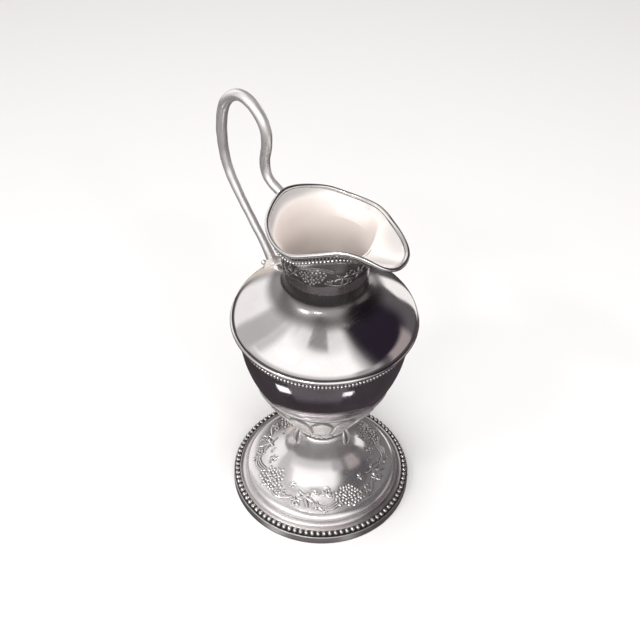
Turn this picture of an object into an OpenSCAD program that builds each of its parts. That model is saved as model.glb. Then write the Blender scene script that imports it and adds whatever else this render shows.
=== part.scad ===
// Silver cream jug of ewer form: beaded foot, pear-shaped body in two spun halves, waisted neck,
// everted lip with a broad spout, and a high loop handle. Every joint is soldered.
// Units are millimetres. +Z is up, +X points to the spout, and the origin is on the body's axis
// at the underside of the foot.

/* [Foot] */
// Diameter of the foot over its outer edge
foot_d = 84.4; // [78:0.2:90]
// Height of the upright edge of the foot
foot_edge_h = 4.2; // [3.4:0.1:4.6]
// Height of the top of the foot, where the collar sits
foot_h = 34.8; // [30:0.2:38]
// Number of beads round the foot
foot_beads = 94; // [60:1:96]
// Diameter of a foot bead
foot_bead_d = 2.3; // [1.8:0.1:2.4]

/* [Body] */
// Diameter of the body over its edge wire
body_d = 80; // [76:0.5:84]
// Height of the edge wire's centre line
edge_z = 103.7; // [98:0.1:108]
// Height of the narrowest place of the neck
waist_z = 131; // [128:0.2:133]
// Outside diameter of the neck at its narrowest place
waist_d = 35.2; // [33:0.2:36.2]
// Thickness of the sheet metal
wall = 1.1; // [0.9:0.05:1.3]

/* [Lip] */
// Height at which the lip is soldered to the neck
lip_base_z = 143.5; // [141:0.1:144]
// Outside diameter of the neck at the foot of the lip
lip_base_d = 37.8; // [37.4:0.2:38.6]
// Reach of the spout's tip from the axis
spout_reach = 38.9; // [37:0.1:41]
// Diameter of the wire that stiffens the rim
rim_wire_d = 1.6; // [1.4:0.1:2.2]
// Outside diameter of the crease where the lip turns outwards
crease_d = 41.4; // [41:0.2:42]

/* [Handle] */
// Diameter of the handle at its thickest, on the top of the loop
handle_d = 4.8; // [4:0.1:5.2]
// Diameter of the handle at its thinnest, on the long lower leg
handle_thin_d = 3.7; // [3.2:0.1:4]

/* [Hidden] */
silver = "silver";
worn_silver = "gainsboro";
dark_silver = "darkgray";

// ---- Foot -------------------------------------------------------------------
foot_r = foot_d / 2;
bead_ring_r = foot_r - 1.8;
bead_z = foot_edge_h + 0.7;
dome_r = foot_r - 6.9;
dome_base_z = foot_edge_h + 4.4;
collar_h = 2.4;
collar_r = 12.6;
collar_bore_r = 9.5;
stem_r = 11.6;

// ---- Body -------------------------------------------------------------------
bowl_base_z = foot_h + collar_h;
bowl_base_r = 10.4;
edge_wire_r = 1.1;
edge_ring_r = body_d / 2 - edge_wire_r;
bowl_top_z = edge_z - edge_wire_r;
shoulder_base_z = edge_z + edge_wire_r;
girdle_z = 99.3;
girdle_wire_r = 1;
waist_r = waist_d / 2;

// ---- Lip --------------------------------------------------------------------
lip_base_r = lip_base_d / 2;
crease_r = crease_d / 2;
rim_wire_r = rim_wire_d / 2;
bead_wire_r = 0.7;
// Half of the rim, from the tip of the spout round to the back: the x, y and z of the rim's centre
// line, and the height of the crease below it
rim_half = [
    [spout_reach, 0, 154.6, 149.6], [36.6, 6.6, 156.2, 150], [30.4, 9.9, 158.8, 151.2],
    [21.7, 13.7, 158.8, 152.9], [12.7, 19.3, 155.6, 151.6], [2.9, 23.6, 152.2, 147.7],
    [-8.8, 21.6, 151.8, 147.4], [-18.4, 14.6, 154.2, 149.7], [-24, 0, 156.8, 152]
];
rim_steps = 6;

// ---- Handle -----------------------------------------------------------------
// Centre line of the handle in the XZ plane, from the shoulder over the loop to the lip
handle_route = [
    [-32.4, 113.9], [-36.8, 120.6], [-46, 131], [-55, 142], [-60.6, 152], [-62.6, 166], [-60, 180],
    [-52, 187.9], [-43.4, 187.9], [-36, 181.6], [-34.6, 173], [-36.2, 164], [-34, 157], [-26.2, 153.8]
];
handle_steps = 5;
tube_sides = 14;

// ---- Curves -----------------------------------------------------------------
// Point at fraction t of a cubic curve with end points a, d and handles b, c
function cubic_at(a, b, c, d, t) =
    pow(1 - t, 3) * a + 3 * t * pow(1 - t, 2) * b + 3 * t * t * (1 - t) * c + pow(t, 3) * d;
function cubic(a, b, c, d, n) = [for (i = [0 : n]) cubic_at(a, b, c, d, i / n)];

// Point at fraction t between b and c on the smooth curve that also passes through a and d
function smooth_at(a, b, c, d, t) =
    0.5 * (2 * b + (c - a) * t + (2 * a - 5 * b + 4 * c - d) * t * t + (3 * b - a - 3 * c + d) * pow(t, 3));

// Smooth curve through all points, closed on itself or with free ends
function smooth_loop(p, n) = let (m = len(p))
    [for (i = [0 : m - 1], k = [0 : n - 1])
        smooth_at(p[(i + m - 1) % m], p[i], p[(i + 1) % m], p[(i + 2) % m], k / n)];
function smooth_path(p, n) = let (m = len(p))
    [for (i = [0 : m - 2], k = [0 : (i == m - 2 ? n : n - 1)])
        smooth_at(p[max(i - 1, 0)], p[i], p[i + 1], p[min(i + 2, m - 1)], k / n)];

function unit(v) = v / norm(v);
function tail(list) = [for (i = [1 : len(list) - 1]) list[i]];
function reversed(list) = [for (i = [len(list) - 1 : -1 : 0]) list[i]];

// The profile moved inwards by t, with both ends kept at their own height
function inset(p, t) = let (m = len(p))
    [for (i = [0 : m - 1])
        let (
            d = unit(p[min(i + 1, m - 1)] - p[max(i - 1, 0)]),
            q = p[i] + t * [-d.y, d.x]
        )
        i == 0 || i == m - 1 ? [p[i].x - t, p[i].y] : [q.x, min(max(q.y, p[0].y), p[m - 1].y)]];

// ---- Profiles, as [radius, height] from the bottom up -----------------------
dome_profile = concat(
    cubic([dome_r, dome_base_z], [dome_r - 0.6, 10], [33, 10.6], [30, 11], 6),
    tail(cubic([30, 11], [19.5, 12.4], [12.6, 19], [stem_r, foot_h], 14))
);
bowl_wall = concat(
    cubic([bowl_base_r, bowl_base_z], [19.5, 54], [37.2, 74], [36.3, girdle_z - 0.8], 18),
    tail(cubic([36.3, girdle_z - 0.8], [36.3, girdle_z + 1], [36.8, bowl_top_z - 1],
        [38.4, bowl_top_z], 5))
);
shoulder_wall = concat(
    cubic([39.3, shoulder_base_z], [39.2, 108.5], [33.4, 113.3], [24.8, 118.8], 14),
    tail(cubic([24.8, 118.8], [20.4, 121.6], [waist_r + 0.1, 122.6], [waist_r, 126.5], 8)),
    [[waist_r, waist_z]]
);
neck_wall = cubic([waist_r, waist_z], [waist_r, waist_z + 5], [lip_base_r - 1, lip_base_z - 5],
    [lip_base_r, lip_base_z], 8);

// ---- Lip rings --------------------------------------------------------------
rim_all = concat(rim_half, [for (i = [len(rim_half) - 2 : -1 : 1]) let (p = rim_half[i])
    [p.x, -p.y, p.z, p[3]]]);
rim_course = smooth_loop(rim_all, rim_steps);
rim_line = [for (p = rim_course) [p.x, p.y, p.z]];
rim_count = len(rim_line);
function outward(p) = unit([p.x, p.y, 0]);
// Level direction from rim point i into the mouth, square to the rim
function inward(i) = let (d = rim_line[(i + 1) % rim_count] - rim_line[(i + rim_count - 1) % rim_count])
    unit([-d.y, d.x, 0]);
// 1 along the spout's middle, 0 at the sides and the back
function spout_share(p) = let (a = min(max((55 - abs(atan2(p.y, p.x))) / 40, 0), 1)) a * a * (3 - 2 * a);
// Slope of the lip where it meets the rim wire: steep at the sides, shallow in the spout
function rim_slope(p) = 48 - 26 * spout_share(p);
// Point of the crease below rim point i, at radius r
function crease(i, r) = r * outward(rim_line[i]) + [0, 0, rim_course[i][3]];
// Point of the lip's middle surface under rim point i: f runs from 0 at the crease to 1 at the rim
function lip_mid(i, f) = let (
        p = rim_line[i],
        g = rim_slope(p),
        s = spout_share(p),
        low = crease(i, crease_r - wall / 2),
        high = p + (rim_wire_r + 0.02) * (cos(g) * inward(i) - [0, 0, sin(g)]),
        reach = high - low,
        bend = low + [reach.x, reach.y, 0] * (0.25 + 0.27 * s) + [0, 0, reach.z * (0.6 - 0.5 * s)]
    )
    pow(1 - f, 2) * low + 2 * f * (1 - f) * bend + f * f * high;
// Direction from the middle surface to the inner skin, leaning from level to steep towards the rim
function lip_way(i, f) = let (p = rim_line[i], g = rim_slope(p), a = (90 - g) * f)
    unit(-cos(a) * (1 - f) * outward(p) + cos(a) * f * inward(i) + [0, 0, sin(a)]);

lip_stations = [0, 0.2, 0.4, 0.6, 0.8, 1];
// All rings of one skin of the lip, from the neck up: sign is -1 outside and 1 inside
function lip_side(sign) = let (skin = (1 + sign) * wall / 2) concat(
    [[for (p = rim_line) (lip_base_r - skin) * outward(p) + [0, 0, lip_base_z]]],
    [[for (i = [0 : rim_count - 1])
        let (low = [lip_base_r, lip_base_z], high = [crease_r, rim_course[i][3]], m = (low + high) / 2)
        (m.x - 0.25 - skin) * outward(rim_line[i]) + [0, 0, m.y]]],
    [for (f = lip_stations)
        [for (i = [0 : rim_count - 1]) lip_mid(i, f) + sign * wall / 2 * lip_way(i, f)]]
);

// ---- Solids from rings ------------------------------------------------------
// Faces that join two neighbouring rings of m points, counted from first points a and b
function band(a, b, m) = [for (i = [0 : m - 1]) [a + i, a + (i + 1) % m, b + (i + 1) % m, b + i]];

// Closed skin between stacked outer rings and stacked inner rings
module shell_of_rings(outer, inner) {
    m = len(outer[0]);
    n = len(outer);
    rings = concat(outer, reversed(inner));
    polyhedron(
        points = [for (ring = rings, p = ring) p],
        faces = [for (k = [0 : 2 * n - 1], f = band(((k + 1) % (2 * n)) * m, k * m, m)) f],
        convexity = 8
    );
}

// Tube along a path; side is a direction that the path never runs along
function tube_rings(path, radii, side, sides, closed) = let (m = len(path))
    [for (i = [0 : m - 1]) let (
            before = closed ? path[(i + m - 1) % m] : path[max(i - 1, 0)],
            after = closed ? path[(i + 1) % m] : path[min(i + 1, m - 1)],
            along = unit(after - before),
            u = unit(cross(along, side)),
            v = cross(u, along)
        )
        [for (k = [0 : sides - 1]) let (a = 360 * k / sides) path[i] + radii[i] * (cos(a) * u + sin(a) * v)]];

module tube(path, radii, side, sides, closed = false) {
    rings = tube_rings(path, radii, side, sides, closed);
    m = len(rings);
    joined = closed ? m : m - 1;
    walls = [for (k = [0 : joined - 1], f = band(k * sides, ((k + 1) % m) * sides, sides)) f];
    ends = closed ? [] : [[for (k = [sides - 1 : -1 : 0]) k], [for (k = [0 : sides - 1]) (m - 1) * sides + k]];
    polyhedron(points = [for (ring = rings, p = ring) p], faces = concat(walls, ends), convexity = 8);
}

// Sheet of revolution between an outer profile and the same profile moved inwards
module spun(profile) {
    rotate_extrude($fn = 96) polygon(concat(profile, reversed(inset(profile, wall))));
}

// Everything inside a profile, for cutting its neighbours to fit against it
module core(profile) {
    rotate_extrude($fn = 96)
        polygon(concat([[0, profile[0].y]], profile, [[0, profile[len(profile) - 1].y]]));
}

// ---- Foot pieces ------------------------------------------------------------
module foot_rim() {
    edge_w = 1.6;
    ridge_r = foot_r - 3.4;
    outer = concat(
        [[foot_r, 0], [foot_r, foot_edge_h - 0.3], [foot_r - 0.3, foot_edge_h]],
        [[foot_r - 0.6, foot_edge_h - 0.1], [foot_r - 3, foot_edge_h - 0.1]],
        [[foot_r - 3.1, foot_edge_h + 1.5], [ridge_r, foot_edge_h + 1.7]],
        cubic([ridge_r - 0.4, foot_edge_h + 1.5], [foot_r - 4.6, foot_edge_h + 1.3],
            [foot_r - 6, foot_edge_h + 2], [foot_r - 6.1, foot_edge_h + 2.8], 5),
        [[dome_r + 0.4, dome_base_z]]
    );
    under = [
        [dome_r - wall, dome_base_z], [dome_r - wall, foot_edge_h + 2.2], [foot_r - 6.3, foot_edge_h + 0.2],
        [foot_r - 4.4, foot_edge_h - 1.2], [foot_r - edge_w, foot_edge_h - 1.6], [foot_r - edge_w, 0]
    ];
    color(silver) rotate_extrude($fn = 96) polygon(concat(outer, under));
}

module foot_bead_wire() {
    color(silver) for (i = [0 : foot_beads - 1])
        rotate([0, 0, 360 * i / foot_beads])
            translate([bead_ring_r, 0, bead_z + 0.35]) sphere(d = foot_bead_d, $fn = 24);
}

module foot_dome() {
    color(silver) spun(dome_profile);
}

module foot_collar() {
    round_r = collar_h / 2;
    color(silver) rotate_extrude($fn = 96) {
        translate([collar_r - round_r, foot_h + round_r]) circle(r = round_r, $fn = 24);
        translate([collar_bore_r, foot_h]) square([collar_r - round_r - collar_bore_r, collar_h]);
    }
}

// One cast leaf, hanging from the bowl over the collar
module collar_leaf() {
    stalk_r = 0.6;
    leaf_r = 2;
    difference() {
        hull() {
            translate([13.5, 0, bowl_base_z + 5.6]) sphere(r = stalk_r, $fn = 16);
            translate([collar_r + 1.8, 0, foot_h + 1.2]) sphere(r = leaf_r, $fn = 24);
        }
        translate([0, 0, foot_h - 4]) cylinder(r = collar_r, h = collar_h + 4, $fn = 96);
        core(bowl_wall);
    }
}

module collar_leaves() {
    color(worn_silver) difference() {
        for (a = [0 : 90 : 270]) rotate([0, 0, a]) collar_leaf();
        bowl_calyx();
    }
}

// ---- Body pieces ------------------------------------------------------------
module bowl() {
    inside = inset(bowl_wall, wall);
    floor_z = bowl_base_z + wall;
    color(dark_silver) rotate_extrude($fn = 96)
        polygon(concat([[0, bowl_base_z]], bowl_wall, reversed([for (p = inside) if (p.y > floor_z) p]),
            [[bowl_base_r - 0.6, floor_z], [0, floor_z]]));
}

// Low petals that lie on the bowl, with a round boss at the root of each
module bowl_calyx() {
    petals = 16;
    petal_h = 0.7;
    gap = 0.9;
    boss_r = 3;
    low_z = 51;
    high_z = 71;
    bed = [for (p = bowl_wall) if (p.y > low_z && p.y < high_z) p];
    color(worn_silver) {
        difference() {
            rotate_extrude($fn = 96) polygon(concat(inset(bed, -petal_h), reversed(bed)));
            for (i = [0 : petals - 1])
                rotate([0, 0, 360 * (i + 0.5) / petals]) translate([0, -gap / 2, low_z - 1])
                    cube([body_d / 2, gap, high_z - low_z + 2]);
        }
        difference() {
            for (i = [0 : petals - 1])
                rotate([0, 0, 360 * (i + 0.5) / petals])
                    translate([11.1, 0, bowl_base_z + 5.2]) sphere(r = boss_r, $fn = 32);
            core(bowl_wall);
        }
    }
}

module girdle_bead_wire() {
    color(silver) difference() {
        rotate_extrude($fn = 96) translate([37.1, girdle_z]) circle(r = girdle_wire_r, $fn = 24);
        core(bowl_wall);
    }
}

module shoulder_edge_wire() {
    inner_r = edge_ring_r - 1.7;
    color(silver) rotate_extrude($fn = 96) {
        translate([edge_ring_r, edge_z]) circle(r = edge_wire_r, $fn = 24);
        translate([inner_r, edge_z - edge_wire_r]) square([edge_ring_r - inner_r, 2 * edge_wire_r]);
    }
}

module shoulder() {
    color(silver) spun(shoulder_wall);
}

module neck() {
    color(dark_silver) spun(neck_wall);
}

// ---- Lip pieces -------------------------------------------------------------
module neck_bead_wire() {
    route = [for (i = [0 : rim_count - 1]) crease(i, crease_r + bead_wire_r - 0.1) - [0, 0, 0.9]];
    color(dark_silver) tube(route, [for (p = route) bead_wire_r], [0, 0, 1], 8, closed = true);
}

module lip() {
    color(worn_silver) shell_of_rings(lip_side(-1), lip_side(1));
}

module rim_wire() {
    color(silver) tube(rim_line, [for (p = rim_line) rim_wire_r], [0, 0, 1], 10, closed = true);
}

// ---- Handle pieces ----------------------------------------------------------
module handle() {
    route = smooth_path([for (p = handle_route) [p.x, 0, p.y]], handle_steps);
    last = len(route) - 1;
    // Thin on the lower leg, thickest over the loop, a little thinner again towards the lip
    function girth(i) = let (f = i / last)
        handle_thin_d + (handle_d - handle_thin_d) * pow(sin(180 * min(max((f - 0.18) / 0.9, 0), 1)), 1.2);
    color(silver) tube(route, [for (i = [0 : last]) girth(i) / 2], [0, 1, 0], tube_sides);
}

module handle_foot() {
    color(worn_silver) difference() {
        hull() {
            translate([-26.6, 0, 116.8]) sphere(r = 1.9, $fn = 24);
            translate([-31.6, 0, 113.6]) sphere(r = 3.1, $fn = 24);
            translate([-35.2, 0, 110.6]) sphere(r = 1.8, $fn = 24);
        }
        core(shoulder_wall);
        handle();
    }
}

module handle_knop() {
    color(worn_silver) translate([-38.3, 0, 110.1]) sphere(r = 1.3, $fn = 24);
}

module handle_top_pad() {
    color(worn_silver) difference() {
        translate([-24.6, 0, 153.8]) sphere(r = 2, $fn = 24);
        handle();
    }
}

foot_rim();
foot_bead_wire();
foot_dome();
foot_collar();
collar_leaves();
bowl();
bowl_calyx();
girdle_bead_wire();
shoulder_edge_wire();
shoulder();
neck();
neck_bead_wire();
lip();
rim_wire();
handle();
handle_foot();
handle_knop();
handle_top_pad();
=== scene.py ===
"""Looks of the silver cream jug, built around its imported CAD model.

The frame is the CAD one: the origin is on the axis under the foot, +X points to the spout and +Z
is up. Shapes are worked out in millimetres, and make_piece() turns them into metres.
"""

import math

import bmesh
import bpy
import numpy as np
from mathutils import Matrix, Vector


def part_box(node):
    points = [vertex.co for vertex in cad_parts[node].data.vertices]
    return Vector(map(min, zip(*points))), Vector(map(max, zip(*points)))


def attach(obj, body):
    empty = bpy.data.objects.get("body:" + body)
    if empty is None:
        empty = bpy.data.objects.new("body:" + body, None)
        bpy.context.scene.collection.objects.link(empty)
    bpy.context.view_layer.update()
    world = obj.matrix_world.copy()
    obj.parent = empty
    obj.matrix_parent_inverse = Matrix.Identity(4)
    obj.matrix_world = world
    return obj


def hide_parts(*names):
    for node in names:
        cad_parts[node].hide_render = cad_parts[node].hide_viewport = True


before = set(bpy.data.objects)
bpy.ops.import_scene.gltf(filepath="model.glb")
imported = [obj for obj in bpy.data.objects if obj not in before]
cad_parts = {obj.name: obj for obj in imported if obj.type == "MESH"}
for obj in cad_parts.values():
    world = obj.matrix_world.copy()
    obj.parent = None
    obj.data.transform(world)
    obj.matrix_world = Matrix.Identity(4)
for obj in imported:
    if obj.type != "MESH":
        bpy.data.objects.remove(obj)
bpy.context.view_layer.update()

MM = 0.001
COLUMNS = 320  # points round a plain spun surface
WALL = 1.1  # thickness of the sheet metal
TARNISH_AND_SHADE_KEY = "tarnish_and_shade"  # vertex attribute: tarnish and painted shade in chased hollows, painted shade in gaps, grooves, channels, along seams and under the lip
LINING = "lining"  # vertex attribute: 1 on the frosted inside, 0 on polished faces
UP = np.array([0, 0, 1.0])


# ---- Sizes, from the frame ---------------------------------------------------------------------
def node_box(node):
    """Lowest and highest corner of a CAD node, in millimetres."""
    low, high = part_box(node)
    return np.array(low) / MM, np.array(high) / MM


rim_high = node_box("foot_rim")[1]
dome_low, dome_high = node_box("foot_dome")
collar_low, collar_high = node_box("foot_collar")
bowl_low, bowl_high = node_box("bowl")
girdle_low, girdle_high = node_box("girdle_bead_wire")
edge_low, edge_high = node_box("shoulder_edge_wire")
shoulder_low = node_box("shoulder")[0]
neck_low, neck_high = node_box("neck")
rim_wire_high = node_box("rim_wire")[1]
knop_low, knop_high = node_box("handle_knop")

FOOT_R = rim_high[0]
EDGE_H = 4.2
DOME_R, DOME_BASE = dome_high[0], dome_low[2]
STEM_R, FOOT_H = 11.6, dome_high[2]
BOWL_BASE, BOWL_TOP = bowl_low[2], bowl_high[2]
GIRDLE_Z = (girdle_low[2] + girdle_high[2]) / 2
EDGE_R, EDGE_Z = edge_high[0], (edge_low[2] + edge_high[2]) / 2
SHOULDER_BASE = shoulder_low[2]
WAIST_R, WAIST_Z = 17.6, neck_low[2]
LIP_BASE_R, LIP_BASE = neck_high[0], neck_high[2]
CREASE_R = 20.7
RIM_WIRE_R = 0.8
SPOUT_REACH = rim_wire_high[0] - RIM_WIRE_R


# ---- Curves ------------------------------------------------------------------------------------
def cubic(a, b, c, d, steps=24):
    """Points of a cubic curve with end points a, d and handles b, c."""
    a, b, c, d = (np.array(p, float) for p in (a, b, c, d))
    t = np.linspace(0, 1, steps + 1)[:, None]
    return (1 - t) ** 3 * a + 3 * t * (1 - t) ** 2 * b + 3 * t * t * (1 - t) * c + t**3 * d


def joined(first, second):
    """Two curves that share a point, as one."""
    return np.vstack([first, second[1:]])


def unit(v):
    return v / np.maximum(np.linalg.norm(v, axis=-1, keepdims=True), 1e-9)


def lengths(curve):
    """Distance along a curve at each of its points."""
    steps = np.linalg.norm(np.diff(curve, axis=0), axis=1)
    return np.concatenate([[0], np.cumsum(steps)])


def at_lengths(curve, stations):
    """Points of a curve at the given distances along it."""
    along = lengths(curve)
    return np.stack([np.interp(stations, along, column) for column in curve.T], axis=1)


def even(curve, count):
    """The curve with its points spread evenly."""
    return at_lengths(curve, np.linspace(0, lengths(curve)[-1], count))


def smooth_path(points, steps, closed=False):
    """Smooth curve through all points."""
    p = np.array(points, float)
    count = len(p)
    if closed:
        order = np.arange(-1, count + 2) % count
    else:
        order = np.clip(np.arange(-1, count + 1), 0, count - 1)
    p = p[order]
    t = (np.arange(steps) / steps)[:, None]
    spans = []
    for a, b, c, d in zip(p[:-3], p[1:-2], p[2:-1], p[3:]):
        bend = 2 * a - 5 * b + 4 * c - d
        spans.append(0.5 * (2 * b + (c - a) * t + bend * t * t + (3 * b - a - 3 * c + d) * t**3))
    if not closed:
        spans.append(p[-1:])
    return np.vstack(spans)


def softened(values, width, closed=True):
    """Values averaged over their neighbours along the first axis."""
    reach = np.arange(-3 * width, 3 * width + 1)
    weights = np.exp(-0.5 * (reach / width) ** 2)
    weights /= weights.sum()
    mode = "wrap" if closed else "edge"
    padded = np.pad(values, [(3 * width, 3 * width)] + [(0, 0)] * (values.ndim - 1), mode=mode)
    return sum(w * padded[i : i + len(values)] for i, w in enumerate(weights))


def rounded(points, radius, steps=4):
    """A closed outline with every corner cut by a small curve."""
    p = np.array(points, float)
    out = []
    for before, corner, after in zip(np.roll(p, 1, axis=0), p, np.roll(p, -1, axis=0)):
        cut = min(radius, 0.45 * np.linalg.norm(before - corner), 0.45 * np.linalg.norm(after - corner))
        start = corner + cut * unit(before - corner)
        end = corner + cut * unit(after - corner)
        for t in np.linspace(0, 1, steps + 1):
            out.append((1 - t) ** 2 * start + 2 * t * (1 - t) * corner + t * t * end)
    return np.array(out)


def smooth_step(x):
    x = np.clip(x, 0, 1)
    return x * x * (3 - 2 * x)


def profile_normals(profile):
    """Outward normals of a profile of (radius, height) that runs upwards."""
    along = unit(np.gradient(profile, axis=0))
    return np.stack([along[:, 1], -along[:, 0]], axis=1)


def inset(profile, depth):
    """The profile moved inwards, with its ends kept at their own height."""
    moved = profile - depth * profile_normals(profile)
    moved[:, 1] = np.clip(moved[:, 1], profile[0, 1], profile[-1, 1])
    for end in (0, -1):
        moved[end] = profile[end] - [depth, 0]
    return moved


# ---- Meshes ------------------------------------------------------------------------------------
def angles_round(count):
    return np.linspace(0, 2 * np.pi, count, endpoint=False)


def spin(profile, angles):
    """Rings of a profile of (radius, height) turned round the axis."""
    radius, height = profile[:, 0:1], profile[:, 1:2]
    return np.stack(
        [radius * np.cos(angles), radius * np.sin(angles), height + 0 * angles], axis=-1
    )


def ring_faces(rows, columns, close_rows=False, first=0):
    """Quads between neighbouring rings, and between the last and the first if close_rows."""
    i = np.arange(rows if close_rows else rows - 1)[:, None]
    j = np.arange(columns)[None, :]
    next_i, next_j = (i + 1) % rows, (j + 1) % columns
    corners = [i * columns + j, i * columns + next_j, next_i * columns + next_j, next_i * columns + j]
    return np.stack(corners, axis=-1).reshape(-1, 4) + first


def make_piece(name, points, faces, film_and_shade=None, sharp=50, lining=None):
    """A Blender object from points in millimetres. Points that coincide are welded."""
    mesh = bpy.data.meshes.new(name)
    mesh.from_pydata((points.reshape(-1, 3) * MM).tolist(), [], faces.tolist())
    for key, values in ((TARNISH_AND_SHADE_KEY, film_and_shade), (LINING, lining)):
        attribute = mesh.attributes.new(key, "FLOAT", "POINT")
        if values is not None:
            attribute.data.foreach_set("value", np.clip(values, 0, 1).astype(np.float32).ravel())
    shape = bmesh.new()
    shape.from_mesh(mesh)
    bmesh.ops.remove_doubles(shape, verts=shape.verts, dist=1e-8)
    bmesh.ops.dissolve_degenerate(shape, edges=shape.edges, dist=1e-8)
    bmesh.ops.recalc_face_normals(shape, faces=shape.faces)
    shape.to_mesh(mesh)
    shape.free()
    mesh.shade_smooth()
    mesh.set_sharp_from_angle(angle=math.radians(sharp))
    piece = bpy.data.objects.new(name, mesh)
    bpy.context.scene.collection.objects.link(piece)
    return piece


def place(piece, node, material):
    """Gives the piece its material and lets it stand for its CAD node."""
    piece.data.materials.append(material)
    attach(piece, "root")
    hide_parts(node)


def spun_piece(name, loop, columns=COLUMNS, film_and_shade=None, sharp=50, seed=None, lining=None):
    """A closed outline turned round the axis, with the slight unevenness of hand work."""
    rings = spin(loop, angles_round(columns))
    if seed is not None:
        rings[..., :2] *= 1 + ripple(rings, seed, 26, 0.03)[..., None] / 30
    film_and_shade, lining = (None if v is None else np.repeat(v[:, None], columns, axis=1) for v in (film_and_shade, lining))
    faces = ring_faces(len(loop), columns, close_rows=True)
    return make_piece(name, rings, faces, film_and_shade, sharp, lining)


def ripple(points, seed, size, depth):
    """Gentle waves through space: about size from crest to crest, and depth high."""
    random = np.random.default_rng(seed)
    waves = 14
    total = 0
    for _ in range(waves):
        direction = unit(random.normal(size=3))
        pace = 2 * np.pi / (size * random.uniform(0.7, 1.8))
        total = total + np.cos(points @ direction * pace + random.uniform(0, 2 * np.pi))
    return depth * total / math.sqrt(waves)


def tube_rings(path, radii, sides, side, closed=False):
    """Rings of a tube along a path. side is a direction, or one per point, off the path's own."""
    if closed:
        along = unit(np.roll(path, -1, axis=0) - np.roll(path, 1, axis=0))
    else:
        along = unit(np.gradient(path, axis=0))
    first = unit(np.cross(along, side))
    second = np.cross(first, along)
    turn = -angles_round(sides)[None, :, None]
    spoke = np.cos(turn) * first[:, None, :] + np.sin(turn) * second[:, None, :]
    return path[:, None, :] + np.asarray(radii)[:, None, None] * spoke


def bead_chain(name, route, count, radius, sides, steps):
    """Pearl wire: one closed skin of beads that run into each other along a closed route."""
    loop = np.vstack([route, route[:1]])
    total = lengths(loop)[-1]
    pitch = total / count
    link_r = 0.34 * radius
    gap_shade = 1.6
    reach = math.sqrt(radius**2 - link_r**2)
    turn = np.linspace(math.asin(link_r / radius), math.pi - math.asin(link_r / radius), steps)
    offsets = -radius * np.cos(turn)
    girths = radius * np.sin(turn)
    squeeze = min(1.0, 0.5 * pitch / reach * 0.97)
    stations = (np.arange(count)[:, None] * pitch + offsets * squeeze) % total
    stations = stations.ravel()
    path = at_lengths(loop, stations)
    ahead = at_lengths(loop, (stations + 0.2) % total)
    behind = at_lengths(loop, (stations - 0.2) % total)
    along = unit(ahead - behind)
    outer = unit(np.cross(along, UP))
    upper = np.cross(outer, along)
    turns = -angles_round(sides)[None, :, None]
    radii = np.tile(girths, count)
    spoke = np.cos(turns) * outer[:, None, :] + np.sin(turns) * upper[:, None, :]
    rings = path[:, None, :] + radii[:, None, None] * spoke
    # Painted shade where the beads run into each other
    film_and_shade = np.repeat((1 - radii / radius)[:, None] * gap_shade, sides, axis=1)
    return make_piece(name, rings, ring_faces(len(path), sides, close_rows=True), film_and_shade, 80)


# ---- Chased ornament ---------------------------------------------------------------------------
def grapes(u, v, width, height, pitch, seed):
    """Bunch of grapes round (0, 0), as heights from 0 to 1."""
    random = np.random.default_rng(seed)
    relief = np.zeros_like(u)
    rows = int(height / pitch / 0.87) + 1
    for row in range(-rows, rows + 1):
        y = row * pitch * 0.87
        for place_in_row in range(-6, 7):
            x = (place_in_row + 0.5 * (row % 2)) * pitch
            # A bunch is broad at its shoulders and narrows to a rounded tip
            broad = 1 - 0.28 * np.clip(-2 * y / height, -1, 1)
            if (2 * x / (width * broad)) ** 2 + (2 * y / height) ** 2 > random.uniform(0.82, 1.1):
                continue
            x_here = x + random.uniform(-0.2, 0.2) * pitch
            y_here = y + random.uniform(-0.2, 0.2) * pitch
            size = pitch * random.uniform(0.38, 0.47)
            far = ((u - x_here) ** 2 + (v - y_here) ** 2) / size**2
            relief = np.maximum(relief, np.sqrt(np.clip(1 - far, 0, 1)) * random.uniform(0.85, 1))
    return relief


def vine_leaf(u, v, size, tip):
    """Five-lobed leaf with veins round (0, 0); tip is the direction of its point, in radians."""
    far = np.hypot(u, v)
    turn = np.arctan2(v, u) - tip
    turn = (turn + np.pi) % (2 * np.pi) - np.pi
    lobes = [(0, 1.0), (1.08, 0.9), (-1.08, 0.9), (2.15, 0.72), (-2.15, 0.72)]
    reach = np.full_like(u, 0.3)
    vein = np.zeros_like(u)
    for direction, length in lobes:
        off = (turn - direction + np.pi) % (2 * np.pi) - np.pi
        reach = np.maximum(reach, length * (1 - 0.75 * smooth_step(np.abs(off) / 0.56)))
        across = far * np.sin(np.clip(off, -1.5, 1.5))
        inside = (np.cos(off) > 0) & (far < 0.86 * size * length)
        vein = np.maximum(vein, np.where(inside, np.exp(-((across / 0.3) ** 2)), 0))
    reach = size * (reach + 0.035 * np.cos(23 * turn))
    plate = smooth_step((reach - far) / 0.7)
    cupped = 0.55 + 0.3 * np.clip(far / size, 0, 1)
    return plate * (cupped + 0.38 * vein)


def ridge(u, v, points, width):
    """Rounded stem along a smooth path through the points."""
    line = even(smooth_path(points, 8), 70)
    nearest = np.full(u.shape, 1e9)
    for x, y in line:
        nearest = np.minimum(nearest, (u - x) ** 2 + (v - y) ** 2)
    return np.sqrt(np.clip(1 - nearest / (width / 2) ** 2, 0, 1))


def curl(u, v, centre, radius, start, turns, width):
    """Tendril that winds inwards round its centre, the other way if turns is below 0."""
    t = np.linspace(0, 1, 14)
    bend = start + 2 * np.pi * turns * t
    shrink = radius * (1 - 0.75 * t)
    points = np.stack([centre[0] + shrink * np.cos(bend), centre[1] + shrink * np.sin(bend)], axis=1)
    return ridge(u, v, points, width)


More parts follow.
